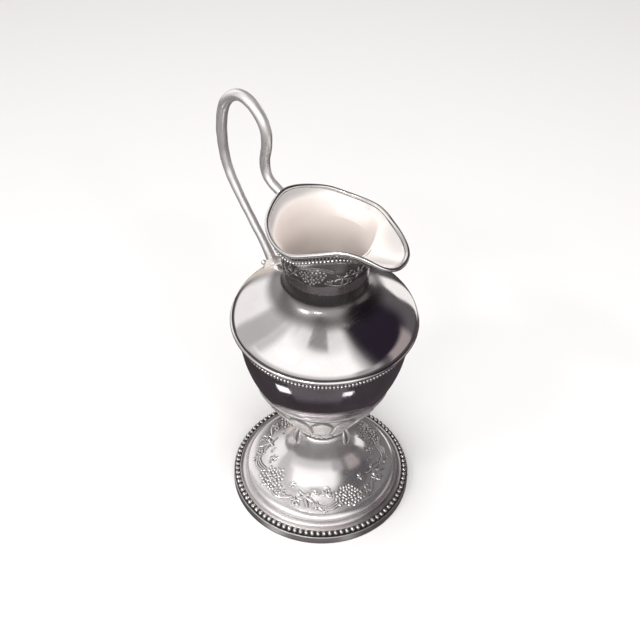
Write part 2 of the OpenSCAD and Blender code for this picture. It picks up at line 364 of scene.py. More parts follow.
def vines(u, v, leaves, curls, stems):
    """Highest of the leaves (x, y, size, tip, height), the curls (height, then what curl() takes)
    and the stems (height, points, width)."""
    relief = np.zeros_like(u)
    for x, y, size, tip, height in leaves:
        relief = np.maximum(relief, height * vine_leaf(u - x, v - y, size, tip))
    for height, *facts in curls:
        relief = np.maximum(relief, height * curl(u, v, *facts))
    for height, points, width in stems:
        relief = np.maximum(relief, height * ridge(u, v, points, width))
    return relief


def blurred(relief, reach):
    """Mean over a square of 2 * reach + 1 points."""
    for axis in (0, 1):
        relief = sum(np.roll(relief, k, axis) for k in range(-reach, reach + 1)) / (2 * reach + 1)
    return relief


def hollows(relief, reach):
    """How far each point lies below its surroundings, from 0 to 1."""
    mean = blurred(relief, reach)
    return np.clip((mean - relief) * 2.6, 0, 1) * smooth_step(mean * 6)


def hollow_band(relief):
    """Nearness of ornament, from 0 far off to 1 inside it, for the sunk line that chasing leaves."""
    return np.clip(blurred(relief, 5), 0, 1) * (relief < 0.15)


def wrapped(angle):
    return (angle + np.pi) % (2 * np.pi) - np.pi


FRIEZE_REPEATS = 4
DOME_BUNCH = math.radians(-14)  # where the first bunch on the foot is
FRIEZE_R = 26.2


def dome_relief(angle, radius, out):
    """Frieze on the foot. out is the distance along the dome from the frieze's middle circle."""
    leaves = [
        (-21.4, -0.6, 5.4, 0.5 * math.pi, 0.95), (-27.2, 2.6, 3.3, 0.9, 0.8),
        (-15.8, 2.8, 3.2, 2.4, 0.8), (-10.4, -2.6, 2.7, -1.2, 0.8), (8.8, 2.4, 3.0, 1.0, 0.8),
        (9.6, -3.6, 2.4, -0.6, 0.7), (-8.6, -5.0, 2.0, 2.6, 0.7), (-14.6, 5.6, 1.9, 0.3, 0.7),
    ]
    curls = [
        (0.45, (-9.0, -2.9), 1.9, 1.2, 1.2, 0.6), (0.45, (9.4, 1.6), 1.7, 2.4, -1.2, 0.6),
        (0.45, (-15.6, -3.4), 1.6, 0.2, 1.1, 0.55), (0.45, (-26.4, 3.0), 1.6, 2.0, -1.1, 0.55),
    ]
    # Three stems run side by side from each bunch to the next leaf
    stems = []
    for step in (0, 1.05, 2.1):
        left = [(-18.5, 2.4 + 0.6 * step), (-14.5, 4.6 - 0.5 * step), (-10.5, 4.9 - step), (-6.6, 3.2 - step)]
        right = [(5.6, 4.6 - step), (8.6, 5.2 - step), (11.8, 4.0 - 0.7 * step), (14.4, 1.6)]
        stems += [(0.55, left, 0.85), (0.55, right, 0.85)]
    relief = np.zeros_like(angle)
    for k in range(FRIEZE_REPEATS):
        from_bunch = wrapped(angle - DOME_BUNCH - k * 2 * np.pi / FRIEZE_REPEATS)
        u = from_bunch * FRIEZE_R * (0.35 + 0.65 * radius / FRIEZE_R)
        bunch = 0.95 * grapes(u, out - 0.3, 13.4, 11.4, 1.66, seed=11 + k)
        relief = np.maximum.reduce([relief, bunch, vines(u, out, leaves, curls, stems)])
    return relief


NECK_BUNCH = math.radians(-62)
NECK_R = 18.6


def neck_relief(angle, up):
    """Frieze on the neck. up is the height over the frieze's middle, which follows the crease."""
    leaves = [
        (12.2, -0.8, 4.6, -0.5 * math.pi, 1.0), (-9.2, 0.2, 4.2, 0.6 * math.pi, 0.9),
        (6.9, -2.6, 2.3, 0.4, 0.8),
    ]
    curls = [
        (0.6, (15.9, 2.0), 2.2, 3.0, 1.2, 0.65), (0.6, (-13.4, -2.8), 1.7, 0.5, 1.2, 0.6),
        (0.6, (6.8, -3.2), 1.5, 1.5, -1.1, 0.55),
    ]
    stems = [(0.6, [(5.2, -3.4), (8.5, -4.9), (12, -5.2), (15.5, -3.6)], 0.75)]
    for step in (0, 1.0):
        points = [(-7.4, 3.4), (-4.2, 5.3), (0, 5.6), (4.4, 5.2), (8.4, 3.4)]
        stems.append((0.55, [(x, y - step) for x, y in points], 0.6))
    relief = np.zeros_like(angle)
    for k in range(FRIEZE_REPEATS):
        u = wrapped(angle - NECK_BUNCH - k * 2 * np.pi / FRIEZE_REPEATS) * NECK_R
        bunch = 0.95 * grapes(u, up, 11.2, 9.2, 1.5, seed=31 + k)
        relief = np.maximum.reduce([relief, bunch, vines(u, up, leaves, curls, stems)])
    return relief


# ---- Materials ---------------------------------------------------------------------------------
class Nodes:
    """Small helper that adds and links the nodes of one tree."""

    def __init__(self, tree):
        self.tree = tree

    def feed(self, socket, value):
        """Links the value to the socket if it is one itself, and otherwise sets it."""
        if isinstance(value, bpy.types.NodeSocket):
            self.tree.links.new(value, socket)
        else:
            socket.default_value = value

    def add(self, kind, **inputs):
        """A node of that kind. An input is named, or numbered as in _0."""
        node = self.tree.nodes.new(kind)
        for key, value in inputs.items():
            self.feed(node.inputs[int(key[1:]) if key[0] == "_" else key.replace("_", " ")], value)
        return node

    def sum(self, operation, a, b=0.0, c=0.0):
        node = self.add("ShaderNodeMath", _0=a, _1=b, _2=c)
        node.operation = operation
        return node.outputs[0]

    def between(self, value, low, high, to_low=0.0, to_high=1.0):
        """The value stretched so that low and high become to_low and to_high, and clamped."""
        inputs = {"Value": value, "From_Min": low, "From_Max": high, "To_Min": to_low, "To_Max": to_high}
        return self.add("ShaderNodeMapRange", **inputs).outputs[0]

    def rise(self, value, low, high):
        """From 0 at low to 1 at high, eased at both ends."""
        node = self.add("ShaderNodeMapRange", Value=value, From_Min=low, From_Max=high)
        node.interpolation_type = "SMOOTHSTEP"
        return node.outputs[0]

    def blend(self, share, first, second):
        """Mix of two colours."""
        node = self.tree.nodes.new("ShaderNodeMix")
        node.data_type = "RGBA"
        for key, kind, part in (("Factor", "VALUE", share), ("A", "RGBA", first), ("B", "RGBA", second)):
            socket = next(s for s in node.inputs if s.name == key and s.type == kind)
            whole = isinstance(part, (float, bpy.types.NodeSocket))
            self.feed(socket, part if whole else (*part, 1))
        return next(s for s in node.outputs if s.type == "RGBA")


class Shader(Nodes):
    """The nodes of one material."""

    def __init__(self, name):
        self.material = bpy.data.materials.new(name)
        self.material.use_nodes = True
        super().__init__(self.material.node_tree)
        self.surface = self.tree.nodes["Principled BSDF"]

    def stretched(self, scale, turn):
        """Object coordinates, in millimetres times scale."""
        coordinates = self.add("ShaderNodeTexCoord").outputs["Object"]
        size = [x / MM for x in scale]
        return self.add("ShaderNodeMapping", Vector=coordinates, Rotation=turn, Scale=size).outputs[0]

    def noise(self, size, detail=3.0, turn=(0.3, 0.5, 0.2), stretch=(1, 1, 1)):
        """Noise with features of about size millimetres."""
        where = self.stretched([s / size for s in stretch], turn)
        return self.add("ShaderNodeTexNoise", Vector=where, Scale=1.0, Detail=detail).outputs[0]

    def turned(self, size):
        """Noise in rings round the jug's axis, as a spinning tool leaves it."""
        where = self.stretched((1, 1, 1), (0, 0, 0))
        split = self.add("ShaderNodeSeparateXYZ", Vector=where)
        square = self.sum("MULTIPLY", split.outputs[0], split.outputs[0])
        radius = self.sum("SQRT", self.sum("MULTIPLY_ADD", split.outputs[1], split.outputs[1], square))
        rings = self.add("ShaderNodeCombineXYZ", X=radius, Y=split.outputs[2])
        return self.add(
            "ShaderNodeTexNoise", Vector=rings.outputs[0], Scale=1 / size, Detail=4.0
        ).outputs[0]

    def attribute(self, name):
        """Value of a vertex attribute."""
        node = self.add("ShaderNodeAttribute")
        node.attribute_name = name
        return node.outputs["Fac"]

    def link(self, value, socket):
        self.tree.links.new(value, self.surface.inputs[socket])


FROST = (0.94, 0.875, 0.835)
FROST_ROUGHNESS = 0.42
FROST_METALLIC = 0.4


CORNER_SHADE = 0.8  # painted shade in a tight corner, at its darkest
DARK_TONE = 0.16  # colour of the darkest tarnish and painted shade, as a share of the film's
SPECKS = 0.3  # share of the film that lies in small specks
SCRATCH_HAZE = 0.07  # roughness that a scratch adds
DARK_HAZE = 0.22  # roughness that tarnish and painted shade add where they are darkest
SCRATCH_DEPTH = 0.0016  # millimetres


def silver(name, colour, film_and_shade, cloud, rough, marks, pits=0.0, warp=0.0, lined=False, metallic=1.0):
    """Silver with patchy tarnish, tarnish and painted shade in hollows, painted shade in tight corners,
    fine scratches and, if asked, pits.

    colour and film are the clean and the tarnished colour, the latter also giving the colour of the
    painted shade; cloud is how much of the tarnish lies on open faces, rough is the lowest and
    highest roughness, marks is the depth of the spinning marks, and warp is the depth of slow waves
    in the surface, both in millimetres. A lined piece has a frosted, creamy inside. A metallic below
    1 gives the whitish haze of fine wear.
    """
    shader = Shader(name)
    shader.surface.inputs["Metallic"].default_value = metallic
    haze = shader.between(shader.noise(19, 4.0), 0.35, 0.68)
    speck = shader.between(shader.noise(1.1, 3.0), 0.4, 0.7)
    # The attribute holds tarnish and painted shade; ambient occlusion paints shade into tight corners
    tarnish_and_shade = shader.attribute(TARNISH_AND_SHADE_KEY)
    shade = shader.add("ShaderNodeAmbientOcclusion", Distance=1.6 * MM)
    shade.samples = 6
    corner = shader.between(shade.outputs["AO"], 0.15, 0.8, CORNER_SHADE, 0.0)
    dark = shader.sum("MAXIMUM", tarnish_and_shade, corner)
    veil = shader.sum("MULTIPLY", haze, cloud)
    veil = shader.sum("MULTIPLY_ADD", speck, SPECKS * cloud, veil)
    tone = shader.blend(veil, colour, film_and_shade)
    if lined:
        inside = shader.attribute(LINING)
        tone = shader.blend(inside, tone, FROST)
        dark = shader.sum("MULTIPLY", dark, shader.between(inside, 0.0, 0.5, 1.0, 0.0))
        shader.link(shader.between(inside, 0.0, 1.0, 1.0, FROST_METALLIC), "Metallic")
    shader.link(shader.blend(dark, tone, [DARK_TONE * c for c in film_and_shade]), "Base Color")

    scratch = [
        shader.between(shader.noise(2.2, 2.0, turn, (9, 0.16, 0.16)), 0.6, 0.68)
        for turn in ((0.2, 0.9, 0.5), (1.1, 0.2, 2.2), (0.7, 2.4, 1.2))
    ]
    lines = shader.sum("MAXIMUM", shader.sum("MAXIMUM", scratch[0], scratch[1]), scratch[2])
    gloss = shader.between(shader.noise(7, 4.0), 0.3, 0.72, rough[0], rough[1])
    gloss = shader.sum("MULTIPLY_ADD", lines, SCRATCH_HAZE, gloss)
    gloss = shader.sum("MULTIPLY_ADD", dark, DARK_HAZE, gloss)
    if lined:
        gloss = shader.between(inside, 0.0, 1.0, gloss, FROST_ROUGHNESS)
    shader.link(gloss, "Roughness")

    height = shader.sum("MULTIPLY", shader.turned(0.5), marks)
    height = shader.sum("MULTIPLY_ADD", lines, -SCRATCH_DEPTH, height)
    if warp:
        height = shader.sum("MULTIPLY_ADD", shader.noise(14, 1.0), warp, height)
    if pits:
        where = shader.stretched((1, 1, 1), (0.4, 0.1, 0.9))
        cells = shader.add("ShaderNodeTexVoronoi", Vector=where, Scale=0.85)
        dots = shader.between(cells.outputs["Distance"], 0.12, 0.36, 1.0, 0.0)
        some = shader.between(shader.noise(3.1, 2.0), 0.46, 0.6)
        dips = shader.sum("MULTIPLY", dots, some)
        height = shader.sum("MULTIPLY_ADD", dips, -pits, height)
        height = shader.sum("MULTIPLY_ADD", shader.noise(1.5, 3.0), 0.6 * pits, height)
    bump = shader.add("ShaderNodeBump", Height=height, Distance=MM)
    shader.link(bump.outputs[0], "Normal")
    return shader.material


polished = silver(
    "polished_silver", (0.94, 0.92, 0.915), (0.74, 0.69, 0.695), 0.3, (0.04, 0.08), 0.001,
    warp=0.03, lined=True,
)
satin = silver(
    "satin_silver", (0.95, 0.93, 0.925), (0.78, 0.72, 0.715), 0.3, (0.14, 0.22), 0.0006, metallic=0.88
)
hazy = silver("hazy_silver", (0.93, 0.9, 0.89), (0.7, 0.63, 0.62), 0.45, (0.28, 0.38), 0.001)
bright = silver(
    "bright_silver", (0.98, 0.968, 0.955), (0.86, 0.81, 0.79), 0.2, (0.1, 0.18), 0.0003, lined=True
)
worn = silver(
    "worn_silver", (0.97, 0.955, 0.945), (0.76, 0.7, 0.685), 0.35, (0.24, 0.38), 0.0, 0.05,
    metallic=0.82,
)
cream = silver(
    "creamy_silver", (0.96, 0.915, 0.865), (0.82, 0.73, 0.66), 0.4, (0.26, 0.4), 0.0, 0.03, metallic=0.8
)
# Darker, violet silver for the bowl: painted dark reflection of the surroundings below it, laid on as colour
# and a heavier film
painted_shade_silver = silver(
    "shaded_silver", (0.72, 0.685, 0.71), (0.42, 0.37, 0.4), 0.6, (0.035, 0.075), 0.001, lined=True
)
chased = silver(
    "chased_silver", (0.9, 0.87, 0.86), (0.36, 0.31, 0.315), 0.45, (0.14, 0.24), 0.0, 0.01, lined=True
)
beaded = silver("beaded_silver", (0.94, 0.92, 0.91), (0.5, 0.46, 0.46), 0.2, (0.12, 0.2), 0.0)


# ---- Foot --------------------------------------------------------------------------------------
def build_foot_rim():
    ridge_r = FOOT_R - 3.4
    cove = cubic(
        (ridge_r - 0.35, EDGE_H + 1.55),
        (FOOT_R - 4.6, EDGE_H + 1.25),
        (FOOT_R - 6, EDGE_H + 1.9),
        (FOOT_R - 6.1, EDGE_H + 2.8),
        10,
    )
    outline = [
        (FOOT_R, 0), (FOOT_R, EDGE_H - 0.4), (FOOT_R - 0.15, EDGE_H), (FOOT_R - 0.55, EDGE_H),
        (FOOT_R - 0.75, EDGE_H - 0.3), (FOOT_R - 2.9, EDGE_H - 0.3), (FOOT_R - 3.05, EDGE_H + 1.5),
        (ridge_r, EDGE_H + 1.7), *cove, (DOME_R + 0.45, DOME_BASE),
        (DOME_R - WALL, DOME_BASE), (DOME_R - WALL, EDGE_H + 2.2), (FOOT_R - 6.3, EDGE_H + 0.2),
        (FOOT_R - 4.4, EDGE_H - 1.2), (FOOT_R - 1.6, EDGE_H - 1.6), (FOOT_R - 1.6, 0),
    ]
    loop = rounded(outline, 0.22, 4)
    # Painted shade in the channel that holds the pearl wire
    in_channel = (loop[:, 0] > FOOT_R - 3.0) & (loop[:, 0] < FOOT_R - 0.7) & (loop[:, 1] > 3)
    piece = spun_piece("turned_foot_rim", loop, film_and_shade=np.where(in_channel, 0.85, 0), sharp=60)
    place(piece, "foot_rim", hazy)


def build_bead_ring(name, node, count, sides, steps):
    low, high = node_box(node)
    radius = (high[2] - low[2]) / 2
    circle = np.array([[high[0] - radius, low[2] + radius]])
    route = spin(circle, angles_round(720))[0]
    place(bead_chain(name, route, count, radius, sides, steps), node, beaded)


def dome_profile():
    shelf = cubic((DOME_R, DOME_BASE), (DOME_R - 0.6, 10), (33, 10.6), (30, 11))
    trumpet = cubic((30, 11), (19.5, 12.4), (12.6, 19), (STEM_R, FOOT_H), 60)
    return joined(shelf, trumpet)


def build_foot_dome():
    curve = even(dome_profile(), 400)
    along = lengths(curve)
    middle = np.interp(-FRIEZE_R, -curve[:, 0], along)
    stations = np.concatenate([
        np.linspace(0, middle - 7.6, 8, endpoint=False),
        np.linspace(middle - 7.6, middle + 7.4, 64, endpoint=False),
        np.linspace(middle + 7.4, along[-1], 22),
    ])
    profile = at_lengths(curve, stations)
    columns = 900
    angles = angles_round(columns)
    grid = np.ones((len(profile), 1)) * angles
    out = (middle - stations)[:, None] + 0 * grid
    relief = dome_relief(grid, profile[:, 0:1] + 0 * grid, out)
    near_frieze = smooth_step((7.2 - np.abs(out)) / 0.8)
    relief = relief * near_frieze
    depth = 0.42
    ground = 0.08 * smooth_step(2.4 * hollow_band(relief))
    rings = spin(profile, angles)
    normals = spin(profile_normals(profile), angles)
    rings = rings + (depth * relief - ground)[..., None] * normals
    rings = rings + ripple(rings, 3, 22, 0.02)[..., None] * normals * (0 < stations)[:, None, None]
    under = spin(inset(even(profile, 14), WALL), angles)[::-1]
    # Tarnish and painted shade in the chased hollows
    film_and_shade = np.vstack([0.95 * hollows(relief, 3), np.zeros((len(under), columns))])
    rows = np.vstack([rings, under])
    piece = make_piece("chased_foot_dome", rows, ring_faces(len(rows), columns, close_rows=True), film_and_shade)
    place(piece, "foot_dome", satin)


def build_collar():
    round_r = (collar_high[2] - collar_low[2]) / 2
    centre = collar_high[0] - round_r
    turn = np.linspace(-0.5 * np.pi, 0.5 * np.pi, 17)
    side = np.stack([centre + round_r * np.cos(turn), collar_low[2] + round_r * (1 + np.sin(turn))], 1)
    loop = np.vstack([[[9.5, collar_low[2]]], side, [[9.5, collar_high[2]]]])
    piece = spun_piece("collar_ring", loop, 192, sharp=50)
    place(piece, "foot_collar", worn)


def build_collar_leaves():
    """Four cast leaves that hang from the bowl over the collar, each a hollowed drop."""
    stations, sides = 30, 28
    t = np.linspace(0, 1, stations)
    top = collar_high[2]
    spine = cubic((13.3, top + 6.2), (14.9, top + 5.6), (16.9, top + 1.4), (15.9, top - 2.9), stations - 1)
    open_t = np.clip(t, 0.012, 0.988)
    half = 0.3 + 2.0 * np.sin(np.pi * open_t**1.6) ** 0.7
    thick = 0.7 * np.sin(np.pi * open_t) ** 0.5
    along = unit(np.gradient(spine, axis=0))
    normal = np.stack([-along[:, 1], along[:, 0]], axis=1)
    turn = angles_round(sides)
    points, faces, film_and_shade = [], [], []
    for k in range(4):
        out = np.array([math.cos(k * math.pi / 2), math.sin(k * math.pi / 2), 0])
        across = np.array([-out[1], out[0], 0])
        centre = spine[:, 0:1] * out + spine[:, 1:2] * UP
        face = normal[:, 0:1] * out + normal[:, 1:2] * UP
        width = half[:, None] * np.cos(turn)
        share = np.abs(np.cos(turn))
        groove = 1.3 * np.exp(-((share / 0.42) ** 2)) - 0.5 * np.exp(-(((share - 0.78) / 0.16) ** 2))
        lift = thick[:, None] * np.sin(turn) * (1 - np.where(np.sin(turn) > 0, groove, 0))
        rings = centre[:, None, :] + width[..., None] * across + lift[..., None] * face[:, None, :]
        first = len(points) * stations * sides
        faces.append(ring_faces(stations, sides, first=first))
        points.append(rings)
        # Painted shade in the groove down each leaf
        film_and_shade.append(np.where((share < 0.4) & (np.sin(turn) > 0), 0.8, 0)[None, :] * np.ones((stations, 1)))
    points = np.array(points)
    # Both ends of every leaf are drawn together to a point
    points[:, 0] = points[:, 0].mean(axis=1, keepdims=True)
    points[:, -1] = points[:, -1].mean(axis=1, keepdims=True)
    piece = make_piece("cast_leaves", points, np.vstack(faces), np.array(film_and_shade), 80)
    place(piece, "collar_leaves", worn)


# ---- Body --------------------------------------------------------------------------------------
def bowl_profile():
    side = cubic((10.4, BOWL_BASE), (19.5, 54), (37.2, 74), (36.3, GIRDLE_Z - 0.8), 48)
    flare = cubic(
        (36.3, GIRDLE_Z - 0.8), (36.3, GIRDLE_Z + 1), (36.8, BOWL_TOP - 1), (38.4, BOWL_TOP), 12
    )
    return joined(side, flare)


def build_bowl():
    outer = even(bowl_profile(), 110)
    inner = inset(outer, WALL)
    floor = BOWL_BASE + WALL
    inner = inner[inner[:, 1] > floor][::-1]
    bottom = [[0.0, BOWL_BASE]]
    loop = np.vstack([bottom, outer, inner, [[9.8, floor], [0.0, floor]]])
    rings = spin(loop, angles_round(COLUMNS))
    rings[..., :2] *= 1 + ripple(rings, 5, 30, 0.035)[..., None] / 34
    lining = np.ones(rings.shape[:2])
    lining[: len(outer) + 1] = 0
    piece = make_piece("lower_body", rings, ring_faces(len(loop), COLUMNS), sharp=50, lining=lining)
    place(piece, "bowl", painted_shade_silver)


def build_calyx():
    """Sixteen broad petals chased on the bowl, over a row of small ones at its bottom."""
    columns = 640
    petals = 16
    arch_z, tip_z, top_z = 60.5, 68.6, 70.9
    angles = angles_round(columns)
    curve = even(bowl_profile(), 900)
    inside = (curve[:, 1] > BOWL_BASE + 0.25) & (curve[:, 1] < top_z)
    profile = even(curve[inside], 118)
    radius, height = profile[:, 0:1], profile[:, 1:2]
    broad_arc = radius * wrapped(petals * angles) / petals
    small_arc = radius * wrapped(petals * angles + np.pi) / petals
    frill_arc = radius * wrapped(2 * petals * angles) / (2 * petals)

    # The broad petals widen upwards with the bowl, and end in round arches
    arch = np.sqrt(np.clip(1 - np.clip((height - arch_z) / (tip_z - arch_z), 0, 1) ** 2, 0, 1))
    within = 0.9 * radius * np.pi / petals * arch - np.abs(broad_arc)
    within = within * (height < tip_z)
    outline = np.exp(-(((within - 0.55) / 0.32) ** 2))
    broad = smooth_step(within / 0.5) * (0.62 + 0.16 * smooth_step(within / 3.5)) + 0.22 * outline
    broad = broad * smooth_step((height - BOWL_BASE - 10.2) / 1.2)

    low = height - BOWL_BASE
    cushion = 1 - (small_arc / 2.5) ** 2 - ((low - 5.2) / 3.0) ** 2
    crease = 0.3 * np.exp(-((small_arc / 0.3) ** 2)) * (np.abs(low - 5.2) < 2.4)
    small = 0.95 * np.clip(cushion, 0, 1) ** 0.5 - crease
    frill = 0.5 * np.clip(1 - (frill_arc / 1.1) ** 2 - ((low - 1.3) / 0.9) ** 2, 0, 1) ** 0.5
    lines = sum(0.34 * np.exp(-(((height - z) / 0.26) ** 2)) for z in (BOWL_BASE + 9.0, 69.6, 70.5))
    relief = np.maximum.reduce([broad, small, frill, lines + 0 * broad])
    relief = relief * smooth_step((top_z - 0.05 - height) / 0.3)

    proud = 0.12
    rings = spin(profile, angles) + (relief + proud)[..., None] * spin(profile_normals(profile), angles)
    under = spin(inset(even(profile, 14), 0.5), angles)[::-1]
    rows = np.vstack([rings, under])
    # Tarnish and painted shade in the chased hollows
    film_and_shade = np.vstack([0.9 * hollows(relief, 4), np.zeros((len(under), columns))])
    piece = make_piece("calyx_lobes", rows, ring_faces(len(rows), columns, close_rows=True), film_and_shade, 70)
    place(piece, "bowl_calyx", worn)


def build_edge_wire():
    wire_r = (edge_high[2] - edge_low[2]) / 2
    turn = np.linspace(-0.5 * np.pi, 0.5 * np.pi, 21)
    centre = EDGE_R - wire_r
    side = np.stack([centre + wire_r * np.cos(turn), EDGE_Z + wire_r * np.sin(turn)], axis=1)
    loop = np.vstack([[[centre - 1.7, edge_low[2]]], side, [[centre - 1.7, edge_high[2]]]])
    piece = spun_piece("edge_wire", loop, 384, sharp=60)
    place(piece, "shoulder_edge_wire", polished)


THROAT_R = 26.5  # radius inside which painted shade darkens the shoulder's outside
# strength of the painted shade under the lip
THROAT_SHADE = 0.8


def build_shoulder():
    side = cubic((39.3, SHOULDER_BASE), (39.2, 108.5), (33.4, 113.3), (24.8, 118.8), 48)
    throat = cubic((24.8, 118.8), (20.4, 121.6), (WAIST_R + 0.1, 122.6), (WAIST_R, 126.5), 30)
    outer = even(np.vstack([joined(side, throat), [[WAIST_R, WAIST_Z]]]), 150)
    loop = np.vstack([outer, inset(outer, WALL)[::-1]])
    # Painted shade along the lower seam and in the hollow under the lip
    painted_throat_shade = THROAT_SHADE * smooth_step((THROAT_R - loop[:, 0]) / 5)
    film_and_shade = np.where(loop[:, 1] < SHOULDER_BASE + 0.35, 0.7, painted_throat_shade)
    lining = np.repeat([0.0, 1.0], len(outer))
    piece = spun_piece("upper_body", loop, film_and_shade=film_and_shade, seed=7, lining=lining)
    place(piece, "shoulder", polished)


# ---- Neck and lip ------------------------------------------------------------------------------
# Half of the rim, from the tip of the spout round to the back: the x, y and z of the rim's centre
# line, and the height of the crease below it
RIM_HALF = [
    (SPOUT_REACH, 0, 154.6, 149.6), (36.6, 6.6, 156.2, 150), (30.4, 9.9, 158.8, 151.2),
    (21.7, 13.7, 158.8, 152.9), (12.7, 19.3, 155.6, 151.6), (2.9, 23.6, 152.2, 147.7),
    (-8.8, 21.6, 151.8, 147.4), (-18.4, 14.6, 154.2, 149.7), (-24, 0, 156.8, 152),
]
LIP_COLUMNS = 720


def rim_course(angles):
    """Rim centre line (x, y, z) and crease height at each angle round the axis."""
    other_half = [(x, -y, z, c) for x, y, z, c in RIM_HALF[-2:0:-1]]
    course = smooth_path(RIM_HALF + other_half, 24, closed=True)
    turn = np.unwrap(np.arctan2(course[:, 1], course[:, 0]))
    reach = np.hypot(course[:, 0], course[:, 1])
    facts = np.column_stack([reach, course[:, 2], course[:, 3]])
    full = 2 * np.pi
    turn = np.concatenate([turn - full, turn, turn + full])
    facts = np.vstack([facts, facts, facts])
    facts = np.column_stack([np.interp(angles, turn, column) for column in facts.T])
    return softened(facts, 5)


def lip_base_rings(angles):
    """What the lip's functions share: outward directions, rim points and crease heights."""
    reach, rim_z, crease_z = rim_course(angles).T
    out = np.stack([np.cos(angles), np.sin(angles), 0 * angles], axis=1)
    rim = reach[:, None] * out
    rim[:, 2] = rim_z
    return out, rim, crease_z


def neck_middle(crease_z):
    """Height of the middle of the neck's frieze under each crease height."""
    return 0.5 * (crease_z + 134.6) - 2.4


CHASE_DEPTH = 0.5


def chased_neck(angles, height, crease_z):
    """Relief on the neck's outside where the frieze lies, and the tarnish and painted shade in its hollows
    and on its matted ground.
    """
    middle = neck_middle(crease_z)
    relief = neck_relief(angles + 0 * height, height - middle)
    edge = smooth_step((height - 133.4) / 0.6) * smooth_step((crease_z - 3.6 - height) / 0.5)
    relief = relief * edge
    # The matted ground ends below in scallops, and above in the plain band under the beads
    scallops = 135.6 - 0.8 * np.abs(np.cos(4.5 * (angles - NECK_BUNCH)))
    ground = smooth_step((height - scallops) / 0.7) * smooth_step((crease_z - 3.4 - height) / 0.5)
    relief = relief + 0.1 * ground * (relief < 0.1) * (0.5 + 0.5 * np.sin(90 * angles) * np.sin(4 * height))
    # Tarnish and painted shade in the hollows and on the matted ground
    film_and_shade = np.maximum(0.9 * hollows(relief, 4), 0.75 * ground * (relief < 0.2))
    return CHASE_DEPTH * relief, film_and_shade


def build_neck():
    angles = angles_round(LIP_COLUMNS)
    crease_z = lip_base_rings(angles)[2]
    top = (LIP_BASE_R, LIP_BASE)
    wall = cubic((WAIST_R, WAIST_Z), (WAIST_R, WAIST_Z + 5), (LIP_BASE_R - 1, LIP_BASE - 5), top, 60)
    profile = even(wall, 56)
    relief, film_and_shade = chased_neck(angles[None, :], profile[:, 1:2], crease_z[None, :])
    rings = spin(profile, angles) + relief[..., None] * spin(profile_normals(profile), angles)
    under = spin(inset(even(profile, 12), WALL), angles)[::-1]
    rows = np.vstack([rings, under])
    film_and_shade = np.vstack([film_and_shade, np.zeros((len(under), LIP_COLUMNS))])
    lining = np.vstack([np.zeros(rings.shape[:2]), np.ones(under.shape[:2])])
    faces = ring_faces(len(rows), LIP_COLUMNS, close_rows=True)
    piece = make_piece("chased_neck", rows, faces, film_and_shade, 70, lining)
    place(piece, "neck", chased)


def spout_share(angles):
    """1 along the middle of the spout, 0 at the sides and the back."""
    return smooth_step((55 - np.degrees(np.abs(wrapped(angles)))) / 40)


def lip_rows(angles, sign, stations):
    """Rings of one skin of the lip over the crease: sign is -1 outside and 1 inside."""
    out, rim, crease_z = lip_base_rings(angles)
    share = spout_share(angles)[:, None]
    slope = np.radians(48 - 26 * share)
    along = np.roll(rim, -1, axis=0) - np.roll(rim, 1, axis=0)
    inward = unit(np.stack([-along[:, 1], along[:, 0], 0 * along[:, 0]], axis=1))
    low = (CREASE_R - WALL / 2) * out + crease_z[:, None] * UP
    high = rim + (RIM_WIRE_R + 0.02) * (np.cos(slope) * inward - np.sin(slope) * UP)
    reach = high - low
    bend = low + reach * (0.25 + 0.27 * share)
    bend[:, 2] = low[:, 2] + reach[:, 2] * (0.6 - 0.5 * share[:, 0])
    rows = []
    for f in stations:
        middle = (1 - f) ** 2 * low + 2 * f * (1 - f) * bend + f * f * high
        lean = (np.pi / 2 - slope) * f
        way = unit(np.cos(lean) * (f * inward - (1 - f) * out) + np.sin(lean) * UP)
        rows.append(middle + sign * WALL / 2 * way)
    return np.array(rows)


def build_lip():
    angles = angles_round(LIP_COLUMNS)
    out, _, crease_z = lip_base_rings(angles)
    stations = np.linspace(0, 1, 18)
    heights = np.linspace(0, 1, 34)[:, None]
    wall_r = LIP_BASE_R + (CREASE_R - LIP_BASE_R) * heights - 0.5 * heights * (1 - heights)
    wall_z = LIP_BASE + (crease_z[None, :] - LIP_BASE) * heights
    relief, film_and_shade = chased_neck(angles[None, :], wall_z, crease_z[None, :])
    outside = (wall_r + relief)[..., None] * out + wall_z[..., None] * UP
    inside = (wall_r - WALL)[..., None] * out + wall_z[..., None] * UP
    thin_rows = inside[::3]
    outer = np.vstack([outside, lip_rows(angles, -1, stations)[1:]])
    inner = np.vstack([thin_rows[:-1], lip_rows(angles, 1, stations)])
    # The lowest rings stay on the neck's inside, so that no gap opens there
    lowest = inner[:2].copy()
    inner = softened(inner, 2, closed=False)
    inner[:2] = lowest
    free = smooth_step(np.arange(len(inner)) / 6)[:, None, None]
    inner = inner + free * ripple(inner, 9, 14, 0.035)[..., None] * out
    rows = np.vstack([outer, inner[::-1]])
    rest = len(rows) - len(film_and_shade)
    film_and_shade = np.vstack([film_and_shade, np.zeros((rest, LIP_COLUMNS))])
    # The frosted finish of the inside thins out over the flared lip
    frost = np.concatenate([np.ones(len(thin_rows) - 1), 1 - 0.4 * smooth_step(stations / 0.8)])
    frost = np.concatenate([np.zeros(len(outer)), frost[::-1]])
    lining = np.repeat(frost[:, None], LIP_COLUMNS, axis=1)
    faces = ring_faces(len(rows), LIP_COLUMNS, close_rows=True)
    piece = make_piece("lip_and_spout", rows, faces, film_and_shade, 75, lining)
    place(piece, "lip", bright)


def build_neck_beads():
    angles = angles_round(LIP_COLUMNS)
    out, _, crease_z = lip_base_rings(angles)
    radius = 0.7
    route = (CREASE_R + radius - 0.1) * out
    route[:, 2] = crease_z - 0.9
    piece = bead_chain("neck_pearls", route, 92, radius, sides=12, steps=8)
    place(piece, "neck_bead_wire", beaded)


